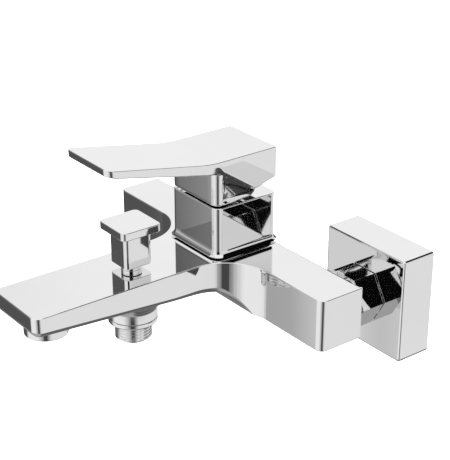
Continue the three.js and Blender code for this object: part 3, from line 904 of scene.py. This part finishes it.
# The hub's flanks draw in under the crease and come out again at the bottom rim and at the front corners.
def leverHub():
    shape = leverShape
    half, corner, front, rear = shape["hubHalf"], shape["hubCorner"], shape["hubFront"], shape["hubRear"]
    rim = arc(half - corner, front + corner, corner, -90, 0, 12)
    rim += [(half, mix(front + corner, rear - 7, k / 16), 1, 0) for k in range(1, 16)]
    rim += [(half, rear - 7 + 6.4 * math.sin(quarter * k / 12), 1, 0) for k in range(13)]
    rim += arc(half - 0.6, rear - 0.6, 0.6, 0, 90, 3)[1:]
    verts, faces = slab(rim, lambda y: 70, hubUnderAt, lambda ny: 0.3, lambda y: shape["hubEdge"], 8, steps=4, walls=20)
    waisted = []
    for x, y, z in verts:
        below = max(leverUnderAt(y) + 0.5 - z, 0)
        rim = ease(0.5, 2.4, z - hubUnderAt(y))
        back = ease(front + corner, front + corner + 1, y)
        inward = shape["hubDraft"] * below * rim * back
        waisted.append((x - math.copysign(min(inward, abs(x) * 0.1), x), y, z))
    return waisted, faces


def leverCuts():
    socketHalf = boxMm("cartridge_stem")[1].x + smallPlay
    stemTop = boxMm("cartridge_stem")[1].z
    screwLow, screwHigh = boxMm("handle_set_screw")
    plugLow, plugHigh = boxMm("handle_screw_plug")
    screwZ = (plugLow.z + plugHigh.z) / 2
    turnIn = Matrix.Translation((0, 0, screwZ)) @ Matrix.Rotation(-quarter, 4, "X")
    socket = block(-socketHalf, socketHalf, cartridgeY - socketHalf, cartridgeY + socketHalf, 47, stemTop + 1, 0.1)
    screwBore = rod((screwHigh.x - screwLow.x) / 2 + smallPlay, cartridgeY, leverHigh.y + 1)
    plugBore = rod(plugHigh.x + smallPlay, plugLow.y - 0.4, leverHigh.y + 1)
    return [socket, moved(screwBore, turnIn), moved(plugBore, turnIn)]


def makeLever():
    makePiece("leverHandle", leverBlade(), "chrome", "lever", "lever_handle", [leverHub()], leverCuts())
    screwLow, screwHigh = boxMm("handle_set_screw")
    plugLow, plugHigh = boxMm("handle_screw_plug")
    turnIn = Matrix.Translation((0, 0, (plugLow.z + plugHigh.z) / 2)) @ Matrix.Rotation(-quarter, 4, "X")
    screw = rod((screwHigh.x - screwLow.x) / 2, screwLow.y, screwHigh.y, 0.35)
    key = prism(roundedHex(1.25, 0.1), softLevels(screwHigh.y - 3.2, screwHigh.y + 1, 0.1, 0.1))
    makePiece("handleSetScrew", moved(screw, turnIn), "steel", "lever", "handle_set_screw", cuts=[moved(key, turnIn)])
    plug = turned([(0, plugLow.y), (plugHigh.x - 0.4, plugLow.y), (plugHigh.x, plugLow.y + 0.4),
                   (plugHigh.x, plugHigh.y - 0.5), (plugHigh.x - 0.3, plugHigh.y - 0.2), (2, plugHigh.y - 0.05),
                   (0, plugHigh.y)])
    makePiece("handleScrewPlug", moved(plug, turnIn), "grey_plastic", "lever", "handle_screw_plug")
    print("lever made")


def roundedHex(flat, radius, steps=3):
    outline = []
    reach = (flat - radius) / math.cos(math.pi / 6)
    for k in range(6):
        middle = 60 * k + 30
        x, y = reach * math.cos(math.radians(middle)), reach * math.sin(math.radians(middle))
        outline += arc(x, y, radius, middle - 30, middle + 30, steps)
    return outline


# ---- Cartridge ----

def portTools(low, high):
    return [shifted(rod(2.6, low, high, 0.1), x, cartridgeY + y) for x, y in ((-6, 4), (6, 4), (0, -7.5))]


def makeCartridge():
    for name, finish, node, soft in (
        ("cartridgeGasket", "rubber", "cartridge_gasket", 0.25),
        ("cartridgeBase", "acetal", "cartridge_base", 0.4),
        ("fixedDisc", "ceramic", "cartridge_fixed_disc", 0.25),
    ):
        low, high = boxMm(node)
        disc = shifted(rod(high.x, low.z, high.z, soft, 64), y=cartridgeY)
        makePiece(name, disc, finish, "body", node, cuts=portTools(low.z - 1, high.z + 1))
    low, high = boxMm("cartridge_moving_disc")
    discY = (low.y + high.y) / 2
    disc = shifted(rod(high.x, low.z, high.z, 0.25, 64), y=discY)
    makePiece("movingDisc", disc, "ceramic", "valve_disc", "cartridge_moving_disc",
              cuts=[shifted(rod(2.7, high.z - 1.8, high.z + 1), y=discY)])
    bottom, top = housingLow.z, housingHigh.z
    housing = softProfile([
        (11.7, bottom), (12.7, bottom), (12.7, 38), (10.4, 38), (10.4, top), (8.8, top), (8.8, 37), (11.7, 37),
    ], 0.3)
    makePiece("cartridgeHousing", shifted(turned(housing), y=cartridgeY), "acetal", "body", "cartridge_housing")
    makeTurret()
    makeStem()
    makeRetainingNut()
    print("cartridge made")


def makeTurret():
    carrierNode, pinNode = "cartridge_stem_carrier", "cartridge_pivot_pin"
    low, high = boxMm(carrierNode)
    pinLow, pinHigh = boxMm(pinNode)
    pinZ = (pinLow.z + pinHigh.z) / 2
    lie = Matrix.Translation((0, cartridgeY, pinZ)) @ Matrix.Rotation(quarter, 4, "Y")
    drum = shifted(rod(high.x, low.z, high.z, 0.3, 64), y=cartridgeY)
    slot = block(-3.3, 3.3, cartridgeY - 6.8, cartridgeY + 5.4, low.z - 0.5, high.z + 1)
    makePiece("stemCarrier", drum, "acetal", "cartridge_turret", carrierNode,
              cuts=[slot, moved(rod(1.8, -12, 12), lie)])
    makePiece("pivotPin", moved(rod(1.5, pinLow.x, pinHigh.x, 0.3), lie), "steel", "cartridge_turret", pinNode)


def makeStem():
    low, high = boxMm("cartridge_stem")
    half = high.x
    shank = prism(roundedSquare(half, 0.5, 3), softLevels(24, high.z, 0.3, 0.6))
    tip = turned(softProfile([(0, low.z), (1.4, low.z), (2, low.z + 0.8), (2, 25), (0, 25)], 0.3), 48)
    pinZ = (boxMm("cartridge_pivot_pin")[0].z + boxMm("cartridge_pivot_pin")[1].z) / 2
    pinHole = moved(rod(1.8, -5, 5), Matrix.Translation((0, cartridgeY, pinZ)) @ Matrix.Rotation(quarter, 4, "Y"))
    makePiece("cartridgeStem", shifted(shank, y=cartridgeY), "brass", "lever", "cartridge_stem",
              [shifted(tip, y=cartridgeY)], [pinHole])


def makeRetainingNut():
    low, high = boxMm("cartridge_retaining_nut")
    headLow = high.z - 1.9
    head = prism(roundedHex(14, 0.5), softLevels(headLow, high.z, 0.3, 0.4))
    threaded = threadedRod(13.7, low.z, headLow + 0.5, low.z + 0.2, headLow - 0.4)
    makePiece("retainingNut", shifted(head, y=cartridgeY), "brass", "body", "cartridge_retaining_nut",
              [shifted(threaded, y=cartridgeY)], [shifted(rod(10.7, low.z - 1, high.z + 1), y=cartridgeY)])


# ---- Diverter ----

diverterShape = {
    "corner": 2.9, "capThickness": 4.5, "capEdge": 0.45, "neckEdge": 0.35, "neckDrop": 1, "neckGap": 0.5,
    "bonnetTop": 2.9, "sealTop": 2.6, "rod": 2.4, "springRadius": 6.4, "wire": 0.45, "turns": 5,
}


def makeKnob():
    shape = diverterShape
    half = capHigh.x
    capBottom = capHigh.z - shape["capThickness"]
    cap = prism(roundedSquare(half, shape["corner"], 9),
                softLevels(capBottom, capHigh.z, shape["capEdge"], shape["capEdge"]))
    spigot = rod(4, capLow.z, capHigh.z - 1)
    makePiece("knobCap", shifted(cap, y=diverterY), "chrome", "diverter_knob", "diverter_knob_cap",
              [shifted(spigot, y=diverterY)])
    column = prism(roundedSquare(neckHigh.x, shape["corner"], 9),
                   softLevels(neckLow.z - shape["neckDrop"], neckHigh.z - shape["neckGap"], shape["neckEdge"], 0.15))
    makePiece("knobNeck", shifted(column, y=diverterY), "chrome", "diverter_knob", "diverter_knob_neck",
              cuts=[shifted(rod(4.3, neckHigh.z - 2.8, neckHigh.z + 1), y=diverterY),
                    shifted(rod(shape["rod"] + smallPlay, neckLow.z - 2, 33), y=diverterY)])
    low, high = boxMm("diverter_rod")
    foot = low.z
    spindle = softProfile([
        (0, foot), (4.2, foot), (4.2, foot + 1.2), (shape["rod"], foot + 1.2), (shape["rod"], high.z), (0, high.z),
    ], 0.25)
    makePiece("diverterRod", shifted(turned(spindle, 48), y=diverterY), "steel", "diverter_knob", "diverter_rod")


def makeDiverterValve():
    low, high = boxMm("diverter_disc")
    disc = softProfile([
        (2.7, low.z), (8, low.z), (8, low.z + 1.2), (4.4, high.z), (2.7, high.z),
    ], 0.25)
    makePiece("diverterDisc", shifted(turned(disc), y=diverterY), "brass", "diverter_knob", "diverter_disc")
    low, high = boxMm("diverter_seal")
    seal = tube(8, 2.7, low.z, high.z, 0.2)
    makePiece("diverterSeal", shifted(seal, y=diverterY), "rubber", "diverter_knob", "diverter_seal")
    bottom = boxMm("diverter_bonnet")[0].z
    bore = diverterShape["rod"] + smallPlay
    top, sealTop = topFace + diverterShape["bonnetTop"], topFace + diverterShape["sealTop"]
    bonnet = softProfile([
        (bore, bottom), (4.7, bottom), (4.7, topFace + 0.05), (5.8, topFace + 0.05), (5.8, top),
        (bore, top), (bore, sealTop), (4.1, sealTop), (4.1, topFace + 1), (bore, topFace + 1),
    ], 0.12)
    makePiece("diverterBonnet", shifted(turned(bonnet), y=diverterY), "chrome", "body", "diverter_bonnet")
    low, high = boxMm("diverter_rod_seal")
    thick = (high.z - low.z) / 2
    circle = [(3.3 + thick * math.cos(a), (low.z + high.z) / 2 + thick * math.sin(a))
              for a in (2 * math.pi * k / 12 for k in range(12))]
    makePiece("rodSeal", shifted(turned(circle), y=diverterY), "rubber", "body", "diverter_rod_seal")


# The wire's end turns lie closed, and the ones between are open.
def makeSpring():
    shape = diverterShape
    low, high = boxMm("diverter_spring")
    start, end = low.z + shape["wire"], high.z - shape["wire"]
    steps = 260
    lay = shape["wire"] * 2.1
    closedShare = 1 / (shape["turns"] + 2)
    rings = []
    for k in range(steps + 1):
        t = k / steps
        angle = 2 * math.pi * (shape["turns"] + 2) * t
        if t < closedShare:
            z = start + lay * t / closedShare
        elif t > 1 - closedShare:
            z = end - lay * (1 - t) / closedShare
        else:
            z = mix(start + lay, end - lay, (t - closedShare) / (1 - 2 * closedShare))
        ring = []
        for i in range(10):
            b = 2 * math.pi * i / 10
            r = shape["springRadius"] + shape["wire"] * math.cos(b)
            ring.append((r * math.cos(angle), r * math.sin(angle) + diverterY, z - shape["wire"] * math.sin(b)))
        rings.append(ring)
    spring = makePiece("diverterSpring", loft(rings), "steel", "body", "diverter_spring", sharp=60)
    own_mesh(spring)


def makeNipple():
    bore, radius = 6.5, inletShape["wallThread"]
    low, collarLow, collarHigh = nippleLow.z, -15, -12.3
    threadLow, threadHigh = low + 0.9, collarLow - 1.3
    profile = [(bore + 0.3, low), (radius - 1.2, low), (radius - 0.9, low + 0.2)]
    profile += threadRun(radius, threadLow, threadHigh, 12)
    profile += [
        (radius - 1, threadHigh + 0.5), (radius - 1, collarLow - 0.2), (radius - 0.8, collarLow),
        (13.4, collarLow), (13.8, collarLow + 0.15), (14, collarLow + 0.5),
        (14, collarHigh - 0.4), (13.7, collarHigh), (8, collarHigh), (8, nippleHigh.z - 0.3), (7.7, nippleHigh.z),
        (bore, nippleHigh.z), (bore, low + 0.3),
    ]
    nipple = turned(profile, 96, threadWave(radius, threadLow, threadHigh))
    makePiece("showerNipple", shifted(nipple, y=diverterY), "chrome", "body", "shower_outlet_nipple", sharp=50)


def makeDiverter():
    makeKnob()
    makeDiverterValve()
    makeSpring()
    makeNipple()
    print("diverter made")


# ---- Aerator ----

def makeAerator():
    low, outer, seat = ringLow.z, ringHigh.x, 4.9
    ring = softProfile([
        (8.8, low), (outer, low), (outer, seat), (10.8, seat), (10.8, 10.5), (9.8, 10.5), (9.8, -2.6), (8.8, -2.6),
    ], 0.5, 4)
    makePiece("aeratorRing", shifted(turned(ring, 96), y=aeratorY), "chrome", "body", "aerator_ring")
    low, high = boxMm("aerator_insert")
    plate = shifted(rod(high.x, low.z, high.z, 0.3, 64), y=aeratorY)
    holes = []
    for ringRadius, count in ((0, 1), (2.6, 6), (5.1, 12), (7.5, 18)):
        for i in range(count):
            angle = 2 * math.pi * i / count
            x, y = ringRadius * math.cos(angle), ringRadius * math.sin(angle)
            holes.append(shifted(rod(0.8, low.z - 1, high.z + 1, 0.05, 12), x, aeratorY + y))
    verts, faces = [], []
    for hv, hf in holes:
        faces += [tuple(i + len(verts) for i in face) for face in hf]
        verts += hv
    makePiece("aeratorInsert", plate, "acetal", "body", "aerator_insert", cuts=[(verts, faces)])
    low, high = boxMm("aerator_washer")
    washer = tube(high.x, 8.4, low.z, high.z, 0.4)
    makePiece("aeratorWasher", shifted(washer, y=aeratorY), "rubber", "body", "aerator_washer")
    print("aerator made")


makeBody()
makeInlets()
makeSleeve()
makeLever()
makeCartridge()
makeDiverter()
makeAerator()


# ---- Studio ----

cameraSetup = {
    "azimuth": 52.66, "elevation": 24.95, "distance": 0.72, "lens": 105.05, "sensor": 36,
    "aim": (0.0265, -0.0819, 0.03705),
}
studio = {
    "floorDrop": 0.2, "floorSize": 9,
    "skyTone": 0.96, "edgeTone": 0.1, "darkTone": 0.03,
    # tone of the room at each bearing, as faces that stand upright mirror it, below and above the horizon
    "lowerBands": [
        (-180, 0.86), (-128, 0.86), (-120, 0.32), (-56, 0.32), (-54.4, 0.5), (-52.9, 0.57), (-51.8, 0.64),
        (-48.2, 0.67), (-47.5, 0.86), (-46.4, 0.83), (-44.6, 0.74), (-42, 0.9), (-30, 0.93), (12, 0.93),
        (30, 0.78), (44, 0.5), (47, 0.27), (61, 0.27), (64, 0.45), (82, 0.88), (120, 0.89), (180, 0.88),
    ],
    "upperBands": [
        (-180, 0.96), (-122, 0.96), (-112, 0.9), (-90, 0.45), (-56, 0.33), (-53, 0.48), (-49, 0.56),
        (-44, 0.75), (-36, 0.93), (30, 0.93), (38, 0.03), (68, 0.03), (78, 0.86), (140, 0.85), (180, 0.9),
    ],
    "underBands": [(-180, 0.44), (-100, 0.44), (-70, 0.64), (60, 0.64), (96, 0.36), (180, 0.38)],
    "darkBearings": (126, 176),
    "edgeBearings": (-190, -134),
}


def placeCamera():
    setup = cameraSetup
    azimuth, elevation = math.radians(setup["azimuth"]), math.radians(setup["elevation"])
    aim = Vector(setup["aim"])
    level = math.cos(elevation)
    back = Vector((math.sin(azimuth) * level, -math.cos(azimuth) * level, math.sin(elevation)))
    data = bpy.data.cameras.new("camera")
    data.lens = setup["lens"]
    data.sensor_width = setup["sensor"]
    data.sensor_fit = "HORIZONTAL"
    camera = bpy.data.objects.new("camera", data)
    camera.location = aim + back * setup["distance"]
    camera.rotation_euler = (quarter - elevation, 0, azimuth)
    bpy.context.scene.collection.objects.link(camera)
    bpy.context.scene.camera = camera


def placeFloor():
    low = cadBounds[0]
    size = studio["floorSize"]
    mesh = bpy.data.meshes.new("studioFloor")
    z = low[2] - studio["floorDrop"]
    mesh.from_pydata([(-size, -size, z), (size, -size, z), (size, size, z), (-size, size, z)], [], [(0, 1, 2, 3)])
    floor = bpy.data.objects.new("studioFloor", mesh)
    bpy.context.scene.collection.objects.link(floor)
    material = bpy.data.materials.new("paleFloor")
    material.use_nodes = True
    shader = material.node_tree.nodes["Principled BSDF"]
    shader.inputs["Base Color"].default_value = (0.9, 0.9, 0.9, 1)
    shader.inputs["Roughness"].default_value = 0.9
    shader.inputs["Emission Color"].default_value = (1, 1, 1, 1)
    shader.inputs["Emission Strength"].default_value = 0.9
    mesh.materials.append(material)
    floor.visible_glossy = False


def placeLights():
    for name, location, size, energy in (
        ("softboxAbove", (0.2, -0.5, 1.1), 0.9, 9), ("softboxFront", (0.9, -1.0, 0.5), 0.8, 7),
        ("softboxRear", (-0.7, 0.8, 0.7), 0.8, 6),
    ):
        data = bpy.data.lights.new(name, "AREA")
        data.size = size
        data.energy = energy
        lamp = bpy.data.objects.new(name, data)
        lamp.location = location
        lamp.rotation_euler = (Vector((0, -0.09, 0.02)) - Vector(location)).to_track_quat("-Z", "Y").to_euler()
        lamp.visible_glossy = False
        bpy.context.scene.collection.objects.link(lamp)


def bandRamp(tree, bearing, bands):
    ramp = tree.nodes.new("ShaderNodeValToRGB")
    ramp.color_ramp.interpolation = "LINEAR"
    stops = ramp.color_ramp.elements
    for i, (angle, level) in enumerate(bands):
        place = (angle + 180) / 360
        stop = stops[i] if i < 2 else stops.new(place)
        stop.position = place
        grey = tone(level)
        stop.color = (grey, grey, grey, 1)
    tree.links.new(bearing, ramp.inputs["Fac"])
    return ramp.outputs["Color"]


# A mask that is 1 between two values, with soft ends.
def between(tree, value, low, high, soft):
    rise = rangeNode(tree, value, low - soft, low, 0, 1)
    return mathNode(tree, "MULTIPLY", rise, rangeNode(tree, value, high, high + soft, 1, 0))


# The room that the chrome mirrors: bright above, bands of light and dark around, grey below.
def buildRoom():
    world = bpy.data.worlds.new("studioRoom")
    bpy.context.scene.world = world
    world.use_nodes = True
    tree = world.node_tree
    tree.nodes.clear()
    place = tree.nodes.new("ShaderNodeTexCoord")
    split = tree.nodes.new("ShaderNodeSeparateXYZ")
    tree.links.new(place.outputs["Generated"], split.inputs["Vector"])
    x, y, z = (split.outputs[label] for label in "XYZ")
    angle = mathNode(tree, "ARCTAN2", x, mathNode(tree, "MULTIPLY", y, -1))
    bearing = mathNode(tree, "ADD", mathNode(tree, "DIVIDE", angle, 2 * math.pi), 0.5)
    grey = {k: (tone(studio[k]),) * 3 for k in ("skyTone", "edgeTone", "darkTone")}
    turnOf = {k: [(a + 180) / 360 for a in studio[k]] for k in ("darkBearings", "edgeBearings")}
    lower = bandRamp(tree, bearing, studio["lowerBands"])
    upper = bandRamp(tree, bearing, studio["upperBands"])
    room = colourBlend(tree, rangeNode(tree, z, -0.05, 0.08, 0, 1), lower, upper)
    under = bandRamp(tree, bearing, studio["underBands"])
    room = colourBlend(tree, rangeNode(tree, z, -0.52, -0.62, 0, 1), room, under)
    room = colourBlend(tree, rangeNode(tree, z, 0.5, 0.66, 0, 1), room, grey["skyTone"])
    rearSide = between(tree, bearing, *turnOf["edgeBearings"], 0.01)
    line = mathNode(tree, "MULTIPLY", between(tree, z, -0.24, 0.1, 0.06), rearSide)
    room = colourBlend(tree, line, room, grey["edgeTone"])
    rightSide = between(tree, bearing, *turnOf["darkBearings"], 0.02)
    patch = mathNode(tree, "MULTIPLY", between(tree, z, 0.5, 0.92, 0.06), rightSide)
    room = colourBlend(tree, patch, room, grey["darkTone"])
    background = tree.nodes.new("ShaderNodeBackground")
    tree.links.new(room, background.inputs["Color"])
    white = tree.nodes.new("ShaderNodeBackground")
    white.inputs["Color"].default_value = (1, 1, 1, 1)
    path = tree.nodes.new("ShaderNodeLightPath")
    choose = tree.nodes.new("ShaderNodeMixShader")
    out = tree.nodes.new("ShaderNodeOutputWorld")
    tree.links.new(path.outputs["Is Camera Ray"], choose.inputs["Fac"])
    tree.links.new(background.outputs["Background"], choose.inputs[1])
    tree.links.new(white.outputs["Background"], choose.inputs[2])
    tree.links.new(choose.outputs["Shader"], out.inputs["Surface"])


placeCamera()
placeFloor()
placeLights()
buildRoom()
bpy.context.scene.view_settings.view_transform = "Standard"
print("studio made")
